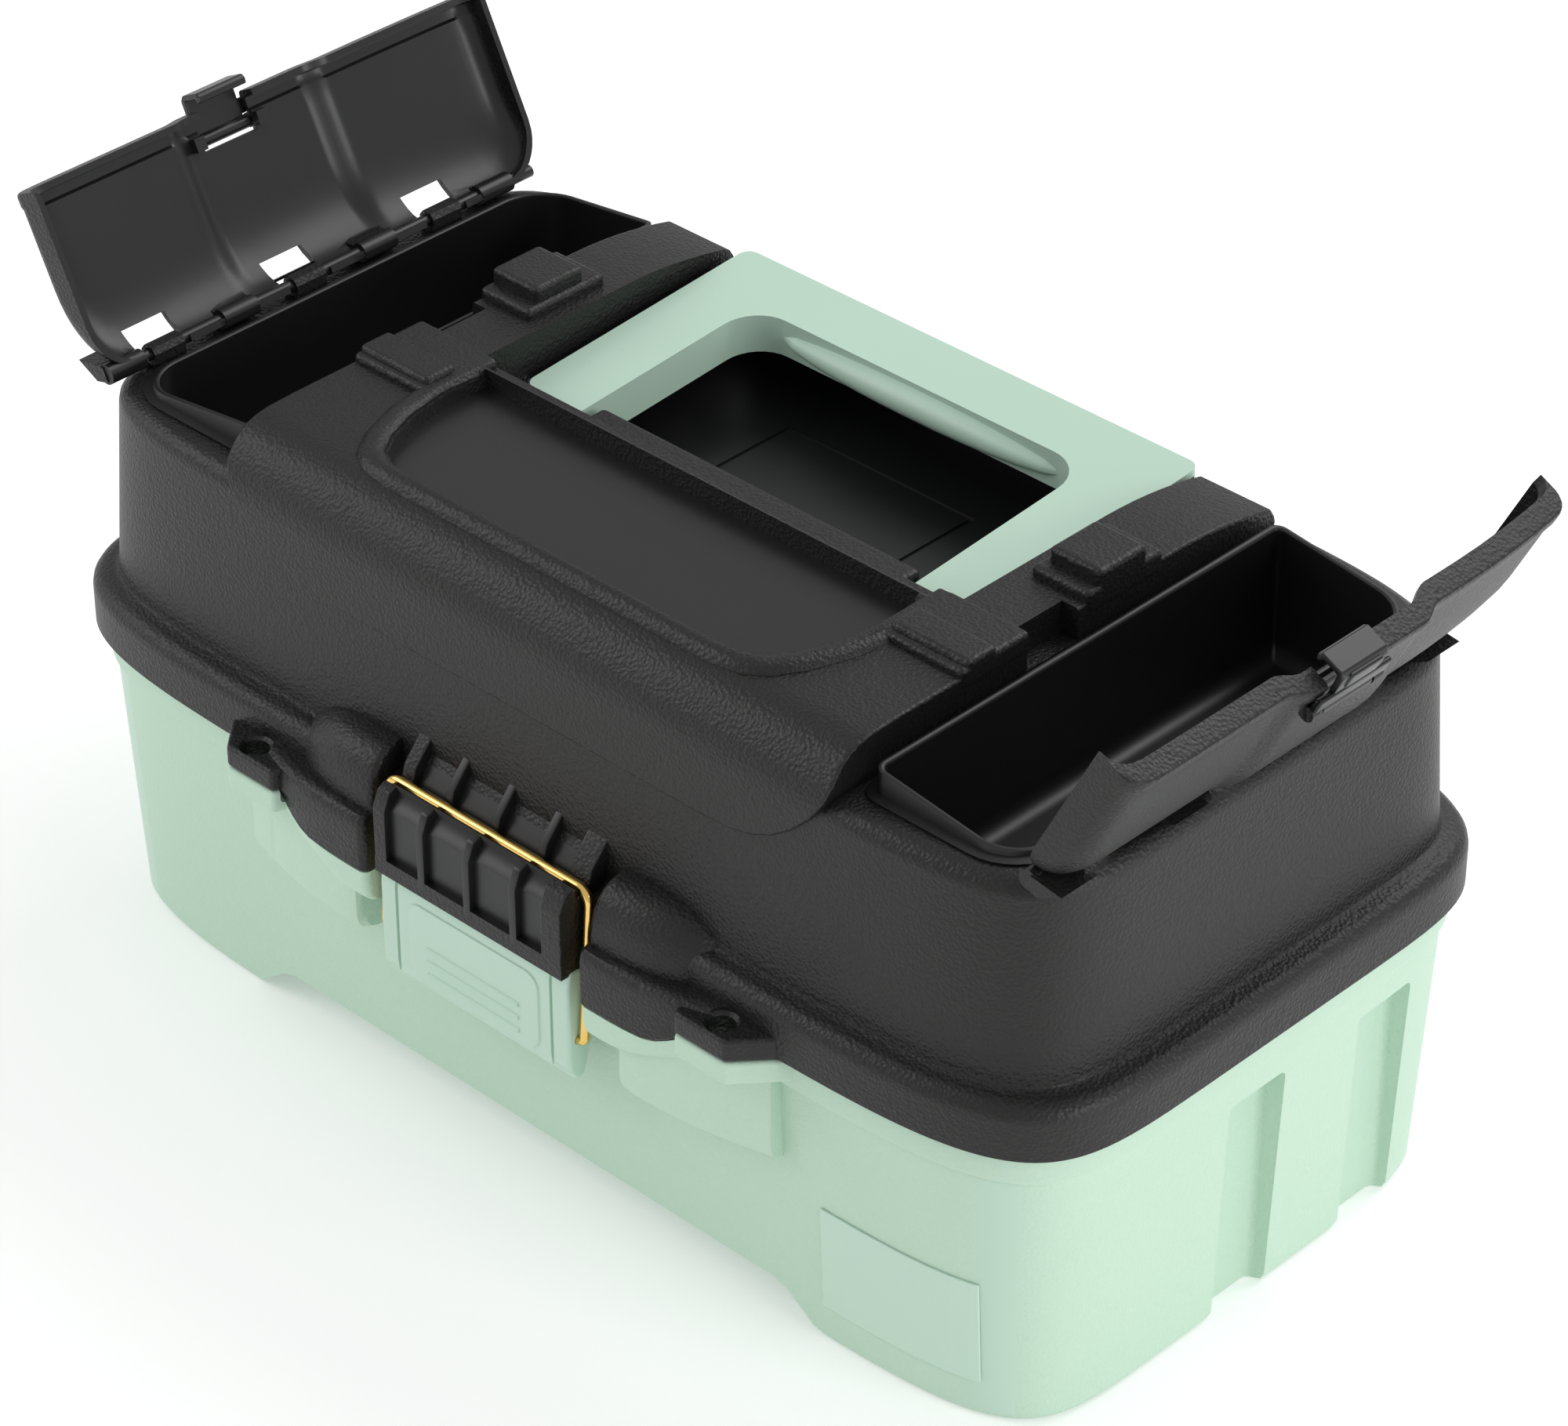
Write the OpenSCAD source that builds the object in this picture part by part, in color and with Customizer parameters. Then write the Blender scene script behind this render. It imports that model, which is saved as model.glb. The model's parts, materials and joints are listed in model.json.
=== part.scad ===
// Two-tray tackle box with two top access lids, a carry handle and a wire latch.
// +Z is up, +X runs along the long side, the front is -Y, origin at the bottom centre.

/* [Case] */
// Overall length at the lid's skirt
box_l = 410; // [380:5:450]
// Overall depth at the lid's skirt
box_w = 217; // [210:1:230]
// Height of the lid's lower edge
skirt_z = 101; // [98:1:104]
// Height of the lid's skirt
skirt_h = 19; // [17:1:21]
// Height of the end ledges around the top bins
ledge_z = 185; // [184:1:186]
// Height of the raised middle deck
deck_z = 201; // [200:1:202]
// Half of the raised middle deck's length
deck_x = 121; // [119:1:122]
// Wall thickness of the mouldings
wall = 2.6; // [2.2:0.1:3]
// Height of the feet under the tub
foot_h = 10; // [6:1:12]

/* [Handle] */
// Half of the handle's width
handle_x = 91; // [88:1:93]
// Width of each handle arm
handle_arm = 24; // [20:1:26]
// Reach from the pivot to the grip's outer edge
handle_reach = 90; // [84:1:91]
// Thickness of the handle
handle_t = 13; // [10:1:14]

/* [Latch] */
// Half of the lever's width
lever_x = 39; // [36:1:40]
// Diameter of the latch wire
wire_d = 3; // [2.5:0.1:3.4]
// Diameter of a padlock hole
lock_d = 8.4; // [7:0.1:9]

/* [Trays] */
// Half of the lower tray's length
tray_x = 179; // [170:1:180]
// Height of a tray's wall
tray_h = 32; // [24:1:32]
// Length of a tray arm between its outer pivots
arm_run = [-72, 18];
// Diameter of a tray rivet
rivet_d = 4; // [3:0.1:5]

/* [Hidden] */
$fn = 48;

mint = [0.73, 0.88, 0.80];
coal = [0.16, 0.16, 0.16];
jet = [0.08, 0.08, 0.08];
brass = [0.85, 0.66, 0.25];
steel = [0.7, 0.71, 0.72];
smoke = [0.55, 0.60, 0.60];

gap = 0.3;
skirt_x = box_l / 2;
skirt_y = box_w / 2;
skirt_top = skirt_z + skirt_h;
// half sizes of the lid's body, the tub's rim and the tub's foot
body_x = skirt_x - 8.7;
body_y = skirt_y - 8.3;
rim_x = skirt_x - 3.3;
rim_y = skirt_y - 3.3;
foot_x = skirt_x - 9.5;
foot_y = skirt_y - 10;
rim_z = skirt_z + 15;
corner = 8;

// rear hinge
hinge_y = skirt_y + 5.5;
hinge_z = skirt_z;
pin_d = 4;
knuckle_r = 5;
knuckle_x = [-120, 0, 120];
knuckle_l = 36;

// tray linkage: one pivot on the lid, the others a fixed step away from it
lid_pivot = [hinge_y - 72, hinge_z + 18];
link = [-56, -14];
mid = 0.45;
base_pivot = [hinge_y, hinge_z] + link;
top_pivot = lid_pivot + link;
mid_pivot = base_pivot + mid * arm_run;
low_base = base_pivot + link;
low_pivot = low_base + mid * arm_run;
arm_x = tray_x + 2;
arm_t = 2;
arm_r = 5.5;
upper_z = 98;
lower_z = upper_z - 4 - tray_h;
upper_x = tray_x - 4;
upper_y = [-88, 62];
lower_y = [-88, 47];

// access lids
axis_x = 184;
axis_z = 188.5;
door_open = 117;
door_in = deck_x + 4;
door_bend = 156;
door_y = 91;
rod_r = 2;

// top bins
bin_in = deck_x + 4;
bin_out = 177;
bin_y = 84;
bin_floor = 150;
bin_t = 1.8;

// handle pivot and its resting tilt
pivot_y = 1;
pivot_z = 182.5;
rest_tilt = 4;
well_z = 163;
well_y = [-19, 92.5];
well_x = handle_x + 4;

// latch pivots
lever_y = -skirt_y + 1.5;
lever_top = 92;
lever_low = 58;
bail_y = lever_y - 6;
bail_z = 72;
catch_y = -skirt_y - 9;
catch_z = 126;
lock_x = 96;
lock_y = -skirt_y - 4.5;
tab_front = -hinge_y - knuckle_r;

// points of a plan outline with bowed sides and rounded corners
function side(v, p) = sign(v) * pow(abs(v), 2 / p);
function plan(hx, hy, p = corner, n = 64) =
  [for (i = [0 : n - 1]) let (a = 360 * (i + 0.5) / n) [hx * side(cos(a), p), hy * side(sin(a), p)]];
// height of the domed top over the depth of the box, for a crown of height z
function dome(y, z) = z - (y < -80 ? 8 * pow((-80 - y) / 14, 2) : 0) - (y > 42 ? 6 * pow((y - 42) / 45, 2) : 0);
function dome_line(y0, y1, z, n = 16) = [for (i = [0 : n]) let (y = y0 + (y1 - y0) * i / n) [y, dome(y, z)]];

module slab(hx, hy, z0, z1, p = corner) {
  translate([0, 0, z0])
    linear_extrude(z1 - z0) polygon(plan(hx, hy, p));
}

// a body between two plan outlines, the upper one smaller or larger than the lower one
module taper(x0, y0, z0, x1, y1, z1, p = corner) {
  hull() {
    slab(x0, y0, z0, z0 + 0.01, p);
    slab(x1, y1, z1 - 0.01, z1, p);
  }
}

module box(x0, x1, y0, y1, z0, z1) {
  translate([x0, y0, z0]) cube([x1 - x0, y1 - y0, z1 - z0]);
}

// a cylinder along X
module bar_x(x0, x1, y, z, r) {
  translate([x0, y, z]) rotate([0, 90, 0]) cylinder(r = r, h = x1 - x0);
}

// a side profile in Y and Z pushed along X
module along_x(x0, x1, points) {
  translate([x0, 0, 0]) rotate([90, 0, 90]) linear_extrude(x1 - x0) polygon(points);
}

module rounded(x0, x1, y0, y1, z0, z1, r) {
  translate([0, 0, z0])
    linear_extrude(z1 - z0) {
      translate([x0 + r, y0]) square([x1 - x0 - 2 * r, y1 - y0]);
      translate([x0, y0 + r]) square([x1 - x0, y1 - y0 - 2 * r]);
      for (x = [x0 + r, x1 - r], y = [y0 + r, y1 - r]) translate([x, y]) circle(r);
    }
}

module mirrored() {
  children();
  mirror([1, 0, 0]) children();
}

// plan of a padlock tab: a straight front and a slanted outer side
module lock_tab(z0, z1) {
  translate([0, 0, z0])
    linear_extrude(z1 - z0)
      polygon([[lock_x - 16, -skirt_y + 6], [lock_x - 12, tab_front], [lock_x + 6, tab_front],
        [lock_x + 20, -skirt_y + 6]]);
}

// plan of the shoulder beside the latch, in front of the wall
module shoulder(z0, z1, y) {
  translate([0, 0, z0])
    linear_extrude(z1 - z0)
      polygon([[lever_x + 5, -skirt_y + 8], [lever_x + 5, y + 2], [lever_x + 7, y], [lever_x + 27, y],
        [lever_x + 44, -skirt_y + 8]]);
}

module base_tub() {
  color(mint) difference() {
    union() {
      taper(foot_x, foot_y, 0, rim_x - 3, rim_y - 3, 90);
      slab(rim_x, rim_y, 90, skirt_z - gap);
      slab(rim_x - 1, rim_y - 1, skirt_z - 1, rim_z);
      mirrored() shoulder(60, skirt_z - gap, -skirt_y - 9);
      mirrored() lock_tab(skirt_z - 8, skirt_z - gap);
      for (x = knuckle_x) {
        bar_x(x - knuckle_l / 2, x - 6.5, hinge_y, hinge_z, knuckle_r);
        bar_x(x + 6.5, x + knuckle_l / 2, hinge_y, hinge_z, knuckle_r);
        box(x - knuckle_l / 2, x - 6.5, rim_y - 2, hinge_y, hinge_z - knuckle_r, hinge_z - 1.5);
        box(x + 6.5, x + knuckle_l / 2, rim_y - 2, hinge_y, hinge_z - knuckle_r, hinge_z - 1.5);
      }
    }
    // inside, stopping short of the raised floor
    difference() {
      taper(foot_x - wall, foot_y - wall, foot_h + wall, rim_x - 3 - wall, rim_y - 3 - wall, rim_z + 1);
      mirrored() for (c = flute_c) flute(c, wall);
    }
    // raised floor between the feet
    rounded(-110, 110, -skirt_y - 20, 80, -1, foot_h, 8);
    mirrored() for (c = flute_c) flute(c, 0);
    mirrored() translate([lock_x, lock_y, skirt_z - 20]) cylinder(d = lock_d, h = 30);
    // room for the latch lever's top and its pin
    box(-lever_x - 4.9, lever_x + 4.9, -skirt_y - 20, lever_y + 4, 86, skirt_z);
    bar_x(-lever_x - 8, lever_x + 8, lever_y, lever_top, 1.5);
    for (x = knuckle_x) bar_x(x - knuckle_l / 2 - 1, x + knuckle_l / 2 + 1, hinge_y, hinge_z, pin_d / 2);
  }
  color(mint) mirrored() {
    tray_boss(base_pivot, foot_x + 1.5);
    tray_boss(low_base, foot_x - 7);
  }
}

flute_c = [-4, 53];
// one upright groove in an end wall, grown by g on its inner sides
module flute(c, g) {
  translate([0, 0, -1 - g])
    linear_extrude(80 + 2 * g)
      polygon([[foot_x - 6 - g, c - 12 - g], [skirt_x + 4, c - 13 - g], [skirt_x + 4, c + 13 + g],
        [foot_x - 6 - g, c + 12 + g]]);
}

// boss on the tub's end wall that a tray arm turns on
module tray_boss(p, x_end) {
  difference() {
    bar_x(arm_x + arm_t + gap, x_end, p[0], p[1], 5);
    bar_x(arm_x, arm_x + 8, p[0], p[1], rivet_d / 2);
  }
}

module label_plate() {
  color([0.80, 0.90, 0.84]) intersection() {
    difference() {
      taper(foot_x + 0.6, foot_y + 0.6, 0, rim_x - 2.4, rim_y - 2.4, 90);
      taper(foot_x + 0.05, foot_y + 0.05, 0, rim_x - 2.95, rim_y - 2.95, 90);
    }
    box(122, 176, -skirt_y, -skirt_y + 40, 14, 50);
  }
}

module hinge_pins() {
  color(steel) for (x = knuckle_x)
    bar_x(x - knuckle_l / 2 + 0.5, x + knuckle_l / 2 - 0.5, hinge_y, hinge_z, pin_d / 2);
}

module lid_shell() {
  color(coal) difference() {
    union() {
      slab(skirt_x, skirt_y, skirt_z, skirt_top - 5);
      taper(skirt_x, skirt_y, skirt_top - 5.01, skirt_x - 4, skirt_y - 4, skirt_top);
      taper(body_x, body_y, skirt_top - 1, body_x - 3, body_y - 3, ledge_z);
      along_x(-deck_x, deck_x, deck_profile(ledge_z - 4, deck_z));
      for (x = knuckle_x) {
        bar_x(x - 6, x + 6, hinge_y, hinge_z, knuckle_r);
        box(x - 6, x + 6, skirt_y - 3, hinge_y, hinge_z + 1, hinge_z + knuckle_r);
      }
      mirrored() lock_tab(skirt_z, skirt_z + 8);
      mirrored() shoulder(skirt_z, 128, -skirt_y - 8);
      catch();
      mirrored() rod_seats();
      mirrored() rounded(well_x + 1, deck_x, 4, 34, deck_z - 2, deck_z + 6, 2);
      mirrored() rounded(well_x + 1, deck_x, -46, -16, deck_z - 2, deck_z + 2, 2);
    }
    lid_inside();
    // recess in the deck's front half
    translate([0, 0, deck_z - 7])
      linear_extrude(20) polygon([[-88, -25], [88, -25], [86, -48], [76, -76], [-76, -76], [-86, -48]]);
    handle_well();
    mirrored() bin_opening();
    mirrored() translate([lock_x, lock_y, skirt_z - 10]) cylinder(d = lock_d, h = 30);
    for (x = knuckle_x) bar_x(x - 7, x + 7, hinge_y, hinge_z, pin_d / 2 + 0.06);
    bar_x(-well_x - 5, well_x + 5, pivot_y, pivot_z, 2.5);
    // slots behind the latch wire's legs
    mirrored() box(lever_x + 0.2, lever_x + 4.9, -skirt_y - 3, -skirt_y + 1, skirt_z - 1, skirt_top);
    // strike pockets for the access lids' clips
    mirrored() box(deck_x - 6, deck_x + 1, clip_y - 10.5, clip_y + 10.5, axis_z + 2, deck_z + 9);
    mirrored() for (y = seats) translate([axis_x, y - 7, axis_z]) rotate([-90, 0, 0]) cylinder(r = rod_r, h = 14);
  }
  color(coal) mirrored() lid_boss();
  // rail between the handle's arms and the step in front of it
  color(coal) rounded(-64, 64, -13, 1.5, well_z - 1, 188.5, 2);
  color(coal) box(-well_x - 1, well_x + 1, well_y[0] - 1, -12, well_z - 1, 183);
}

function deck_profile(z0, z) = concat([[90, z0], [-body_y + 5, z0]], dome_line(-91, 87, z));

module lid_inside() {
  slab(skirt_x - wall, skirt_y - wall, skirt_z - 1, skirt_top - 3);
  taper(body_x - wall, body_y - wall, skirt_top - 4, body_x - 4, body_y - 4, bin_floor - 4);
  // under the deck, in front of the well and below it
  box(-deck_x + wall, deck_x - wall, -86, 86, bin_floor - 5, well_z - wall);
  box(-deck_x + wall, deck_x - wall, -86, well_y[0] - wall, bin_floor, deck_z - 10);
}

module handle_well() {
  rounded(-well_x, well_x, well_y[0], well_y[1], well_z, deck_z + 9, 4);
}

module bin_opening() {
  rounded(bin_in - gap, bin_out + gap, -bin_y - gap, bin_y + gap, bin_floor - 8, ledge_z + 1, 14);
}

// catch that the wire drops over: a ribbed block with a groove behind its top
module catch() {
  difference() {
    along_x(-lever_x + 0.5, lever_x - 0.5, [[-skirt_y + 6, skirt_z + 0.5], [catch_y, skirt_z + 0.5], [catch_y, catch_z - 2],
      [catch_y + 2, catch_z], [catch_y + 5, catch_z], [catch_y + 6, catch_z - 6], [catch_y + 10, catch_z - 6],
      [-skirt_y + 8, catch_z + 14]]);
    for (i = [0 : 3]) {
      x = (i - 1.5) * 18.5;
      box(x - 7.5, x + 7.5, catch_y - 1, catch_y + 1.6, skirt_z + 4, catch_z - 5);
    }
  }
}

door_knuckles = [-82, -37, 20, 70];
seats = [-66, -9, 48];
// blocks on the end ledge that hold the access lid's rod
module rod_seats() {
  for (y = seats) translate([axis_x - 3.2, y - 6, ledge_z - 2]) cube([6.4, 12, axis_z - ledge_z + 5]);
}

module access_rod() {
  color(jet) translate([axis_x, -86.5, axis_z]) rotate([-90, 0, 0]) cylinder(r = rod_r, h = 173);
}
module right_access_rod() { access_rod(); }
module left_access_rod() { mirror([1, 0, 0]) access_rod(); }

// boss on the lid's inner end wall that carries the upper tray
module lid_boss() {
  difference() {
    bar_x(upper_x + 1.5, body_x - 2, lid_pivot[0], lid_pivot[1], 6);
    bar_x(upper_x + 1, upper_x + 12, lid_pivot[0], lid_pivot[1], rivet_d / 2);
  }
}

module bin() {
  color(jet) {
    difference() {
      union() {
        rounded(bin_in, bin_out, -bin_y, bin_y, bin_floor, ledge_z + 0.5, 14);
        rounded(bin_in - 2, bin_out + 2, -bin_y - 2, bin_y + 2, ledge_z + gap, ledge_z + 1.5, 15);
        intersection() {
          rounded(bin_in, bin_out, -bin_y, bin_y, ledge_z, deck_z, 14);
          along_x(bin_in - 1, bin_out + 1, concat([[bin_y + 1, ledge_z - 1], [-bin_y - 1, ledge_z - 1]],
            dome_line(-bin_y - 1, bin_y + 1, deck_z - 6)));
        }
      }
      rounded(bin_in + bin_t, bin_out - bin_t, -bin_y + bin_t, bin_y - bin_t, bin_floor + bin_t, deck_z + 9, 12.2);
    }
  }
}
module right_bin() { bin(); }
module left_bin() { mirror([1, 0, 0]) bin(); }

// the access lid is drawn closed over its bin and turned open about its rod
module opened() {
  translate([axis_x, 0, axis_z]) rotate([0, door_open, 0]) translate([-axis_x, 0, -axis_z]) children();
}

// an end profile in X and Z pushed along Y
module along_y(y0, y1, points) {
  translate([0, y1, 0]) rotate([90, 0, 0]) linear_extrude(y1 - y0) polygon(points);
}

// end profile of a closed access lid, inset by t: flat on top, bowed down to the rod at its outer side
function door_profile(t, z) = concat([[door_in - t / 2, axis_z - 3 - 3 * t], [door_in - t / 2, z - t]],
  [for (a = [90 : -15 : 15]) [door_bend + (axis_x + 2 - t - door_bend) * cos(a),
    axis_z + 1 + (z - t - axis_z - 1) * sin(a)]],
  [[axis_x + 2 - t, axis_z - 1], [axis_x, axis_z - 3 - 3 * t]]);

module access_lid() {
  top = deck_z + 3;
  color(coal) opened() difference() {
    union() {
      clip_eyes();
      difference() {
        intersection() {
          along_y(-door_y, door_y, door_profile(0, top));
          along_x(door_in - 1, axis_x + 4, concat([[door_y, axis_z - 4], [-door_y, axis_z - 4]],
            dome_line(-door_y, door_y, top)));
        }
        intersection() {
          along_y(-door_y + 2.4, door_y - 2.4, door_profile(2.4, top));
          along_x(door_in - 4, axis_x + 4, concat([[door_y, axis_z - 12], [-door_y, axis_z - 12]],
            dome_line(-door_y, door_y, top - 2.4)));
        }
      }
      for (y = door_knuckles) {
        translate([axis_x, y - 7, axis_z]) rotate([-90, 0, 0]) cylinder(r = 3.2, h = 14);
        intersection() {
          box(axis_x - 3, axis_x + 3, y - 7, y + 7, axis_z, axis_z + 8);
          along_y(y - 7, y + 7, door_profile(0, top));
        }
      }
    }
    translate([axis_x, -door_y - 1, axis_z]) rotate([-90, 0, 0]) cylinder(r = rod_r + 0.08, h = 2 * door_y + 2);
    for (y = seats) translate([axis_x, y - 8, axis_z]) rotate([-90, 0, 0]) cylinder(r = 5.6, h = 16);
    box(door_in - 2, door_in + 12.6, clip_y - 10.5, clip_y + 10.5, deck_z - 6, deck_z + 9);
    translate([clip_x, clip_y - 16, clip_z]) rotate([-90, 0, 0]) cylinder(r = 1.25, h = 32);
  }
}
module right_access_lid() { access_lid(); }
module left_access_lid() { mirror([1, 0, 0]) access_lid(); }

clip_y = -8;
clip_x = door_in + 9.5;
clip_z = deck_z + 3.2;
// two eyes on the access lid beside the snap clip
module clip_eyes() {
  for (s = [-1, 1])
    translate([clip_x, clip_y + s * 12.6 - 2, clip_z]) rotate([-90, 0, 0]) cylinder(r = 2.6, h = 4);
}

module snap_clip() {
  color(jet) opened() union() {
    translate([clip_x, clip_y - 14.4, clip_z]) rotate([-90, 0, 0]) cylinder(r = 1.2, h = 28.8);
    translate([clip_x, clip_y - 10.2, clip_z]) rotate([-90, 0, 0]) cylinder(r = 2.2, h = 20.4);
    box(clip_x - 15, clip_x, clip_y - 9.5, clip_y + 9.5, clip_z, clip_z + 2);
    box(clip_x - 15, clip_x - 13, clip_y - 9.5, clip_y + 9.5, clip_z - 7, clip_z + 0.5);
    box(clip_x - 15, clip_x - 11.5, clip_y - 9.5, clip_y + 9.5, clip_z - 8.5, clip_z - 7);
  }
}
module right_snap_clip() { snap_clip(); }
module left_snap_clip() { mirror([1, 0, 0]) snap_clip(); }

// the handle lies on the well's rear edge at a slight tilt
module at_rest() {
  translate([0, pivot_y, pivot_z]) rotate([rest_tilt, 0, 0]) children();
}

module carry_handle() {
  color(mint) at_rest() difference() {
    union() {
      difference() {
        rounded(-handle_x, handle_x, 0, handle_reach, -handle_t / 2, handle_t / 2, 3);
        rounded(-handle_x + handle_arm, handle_x - handle_arm, -1, handle_reach - 26, -handle_t, handle_t, 8);
      }
      for (s = [-1, 1])
        bar_x(s < 0 ? -handle_x : handle_x - handle_arm, s < 0 ? -handle_x + handle_arm : handle_x, 0, 0, handle_t / 2);
    }
    // square off the inner corners at the pivot end
    box(-handle_x + handle_arm, handle_x - handle_arm, -9, 12, -handle_t, handle_t);
    // hollow underside
    for (s = [-1, 1]) box(s * (handle_x - handle_arm / 2) - 8, s * (handle_x - handle_arm / 2) + 8, 12,
      handle_reach - 3, -handle_t, handle_t / 2 - 3);
    box(-handle_x + 10, handle_x - 10, handle_reach - 20, handle_reach - 3, -handle_t, handle_t / 2 - 3);
    bar_x(-handle_x - 1, handle_x + 1, 0, 0, 2.58);
  }
}

// stub pins from the well's cheeks into the handle's arms
module handle_pins() {
  color(steel) mirrored() bar_x(handle_x - handle_arm + 2, well_x + 5, pivot_y, pivot_z, 2.5);
}

module latch_lever() {
  color(mint) difference() {
    union() {
      along_x(-lever_x, lever_x, [[lever_y + 3, lever_top + 1.5], [lever_y, lever_top + 3], [lever_y - 6, lever_top + 8],
        [lever_y - 9, lever_top + 8], [lever_y - 10, lever_top], [lever_y - 10, lever_low + 6], [lever_y - 7, lever_low],
        [lever_y - 4, lever_low], [lever_y + 3, lever_top - 12]]);
      for (i = [0 : 2]) box(-20, 20, lever_y - 11.2, lever_y - 9, lever_low + 8 + 5 * i, lever_low + 10 + 5 * i);
    }
    box(-lever_x + 2.5, lever_x - 2.5, lever_y - 7.5, lever_y + 8, lever_low - 1, lever_top - 4);
    bar_x(-lever_x - 1, lever_x + 1, lever_y, lever_top, 1.56);
    bar_x(-lever_x - 1, lever_x + 1, bail_y, bail_z, wire_d / 2 + 0.06);
  }
}

module lever_pin() {
  color(steel) bar_x(-lever_x - 7, lever_x + 7, lever_y, lever_top, 1.5);
}

// bent wire: legs from the lever's sides up and over the catch's groove
module latch_bail() {
  groove = [catch_y + 8, catch_z - 3];
  r = wire_d / 2;
  bail_x = lever_x + 2.2;
  leg = groove - [bail_y, bail_z];
  lean = atan2(leg[0], leg[1]);
  color(brass) translate([0, bail_y, bail_z]) rotate([-lean, 0, 0]) {
    for (s = [-1, 1]) {
      translate([s * bail_x, 0, 0]) cylinder(r = r, h = norm(leg) - 5);
      translate([s * bail_x, 0, 0]) sphere(r);
      translate([s > 0 ? lever_x - 5 : -bail_x, 0, 0]) rotate([0, 90, 0]) cylinder(r = r, h = bail_x - lever_x + 5);
      translate([s * (bail_x - 5), 0, norm(leg) - 5]) rotate([90, 0, 0])
        rotate([0, 0, s > 0 ? 0 : 90]) rotate_extrude(angle = 90) translate([5, 0]) circle(r);
    }
    bar_x(-bail_x + 5, bail_x - 5, 0, norm(leg), r);
  }
}

// outline of a flat link with round ends from pivot a to pivot b
function link_outline(a, b, r, n = 12) =
  let (turn = atan2(b[1] - a[1], b[0] - a[0]))
  concat([for (i = [0 : n]) a + r * [cos(turn + 90 + 180 * i / n), sin(turn + 90 + 180 * i / n)]],
    [for (i = [0 : n]) b + r * [cos(turn - 90 + 180 * i / n), sin(turn - 90 + 180 * i / n)]]);

// flat link, loose on its first pivot and riveted at the holes
module arm(a, b, holes) {
  color(steel) difference() {
    along_x(arm_x, arm_x + arm_t, link_outline(a, b, arm_r));
    bar_x(arm_x - 1, arm_x + 3, a[0], a[1], rivet_d / 2 + 0.06);
    for (p = holes) bar_x(arm_x - 1, arm_x + 3, p[0], p[1], rivet_d / 2);
  }
}
module right_long_arm() { arm(base_pivot, top_pivot, [mid_pivot, top_pivot]); }
module left_long_arm() { mirror([1, 0, 0]) right_long_arm(); }
module right_short_arm() { arm(low_base, low_pivot, [low_pivot]); }
module left_short_arm() { mirror([1, 0, 0]) right_short_arm(); }

// shank of a rivet from x0 to x1
module rivet(x0, x1, p) {
  bar_x(x0, x1, p[0], p[1], rivet_d / 2);
}

module base_tray_rivets() {
  color(steel) mirrored() for (p = [base_pivot, low_base]) {
    rivet(arm_x - 0.3, arm_x + 5.4, p);
    bar_x(arm_x - 1.3, arm_x - 0.2, p[0], p[1], 3.6);
  }
}
module lid_tray_rivets() {
  color(steel) mirrored() {
    rivet(upper_x - 4, upper_x + 12, lid_pivot);
    bar_x(upper_x - 5, upper_x - 3.8, lid_pivot[0], lid_pivot[1], 3.6);
  }
}
module right_arm_rivets() {
  color(steel) {
    rivet(upper_x - 4, arm_x + arm_t, top_pivot);
    bar_x(upper_x - 5, upper_x - 3.8, top_pivot[0], top_pivot[1], 3.6);
    rivet(tray_x - 4, arm_x + arm_t, mid_pivot);
  }
}
module left_arm_rivets() { mirror([1, 0, 0]) right_arm_rivets(); }
module right_short_rivet() {
  color(steel) {
    rivet(tray_x - 4, arm_x + arm_t, low_pivot);
    bar_x(tray_x - 5, tray_x - 3.8, low_pivot[0], low_pivot[1], 3.6);
  }
}
module left_short_rivet() { mirror([1, 0, 0]) right_short_rivet(); }

module tray(hx, y, z, ribs) {
  t = 2.2;
  difference() {
    rounded(-hx, hx, y[0], y[1], z, z + tray_h, 20);
    rounded(-hx + t, hx - t, y[0] + t, y[1] - t, z + t, z + tray_h + 1, 18);
  }
  for (x = ribs) box(x - 0.9, x + 0.9, y[0] + 1, y[1] - 1, z + 1, z + tray_h - 6);
}

module upper_tray() {
  color(smoke) difference() {
    tray(upper_x, upper_y, upper_z, [-110, 110]);
    mirrored() for (p = [lid_pivot, top_pivot]) bar_x(upper_x - 4, upper_x + 1, p[0], p[1], rivet_d / 2 + 0.3);
  }
}
module lower_tray() {
  color(smoke) difference() {
    union() {
      tray(tray_x, lower_y, lower_z, [-110, 110]);
      // ears that reach up to the long arms
      mirrored() along_x(tray_x - 2.2, tray_x, [[mid_pivot[0] - 8, lower_z + tray_h - 3],
        [mid_pivot[0] + 8, lower_z + tray_h - 3], [mid_pivot[0] + 5, mid_pivot[1] + 5], [mid_pivot[0] - 5, mid_pivot[1] + 5]]);
    }
    mirrored() for (p = [mid_pivot, low_pivot]) bar_x(tray_x - 4, tray_x + 1, p[0], p[1], rivet_d / 2 + 0.3);
  }
}

// loose dividers standing across each tray
module dividers(y, z, places) {
  for (x = places) box(x - 0.8, x + 0.8, y[0] + 2.6, y[1] - 2.6, z + 2.5, z + tray_h - 5);
}
module upper_dividers() { color(jet) dividers(upper_y, upper_z, [-70, -28, 28, 70, 142, -142]); }
module lower_dividers() { color(jet) dividers(lower_y, lower_z, [-60, 0, 60]); }

base_tub();
label_plate();
hinge_pins();
base_tray_rivets();
lever_pin();
lid_shell();
left_bin();
right_bin();
lid_tray_rivets();
handle_pins();
left_access_lid();
right_access_lid();
left_snap_clip();
right_snap_clip();
left_access_rod();
right_access_rod();
carry_handle();
latch_lever();
latch_bail();
left_long_arm();
right_long_arm();
left_short_arm();
right_short_arm();
upper_tray();
upper_dividers();
lower_tray();
lower_dividers();
left_arm_rivets();
right_arm_rivets();
left_short_rivet();
right_short_rivet();
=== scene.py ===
"""Looks of a two-tone tackle box: moulded shells, access lids, handle, draw latch, wire and liners."""

import json
import math

import bmesh
import bpy
from mathutils import Matrix, Vector


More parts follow.
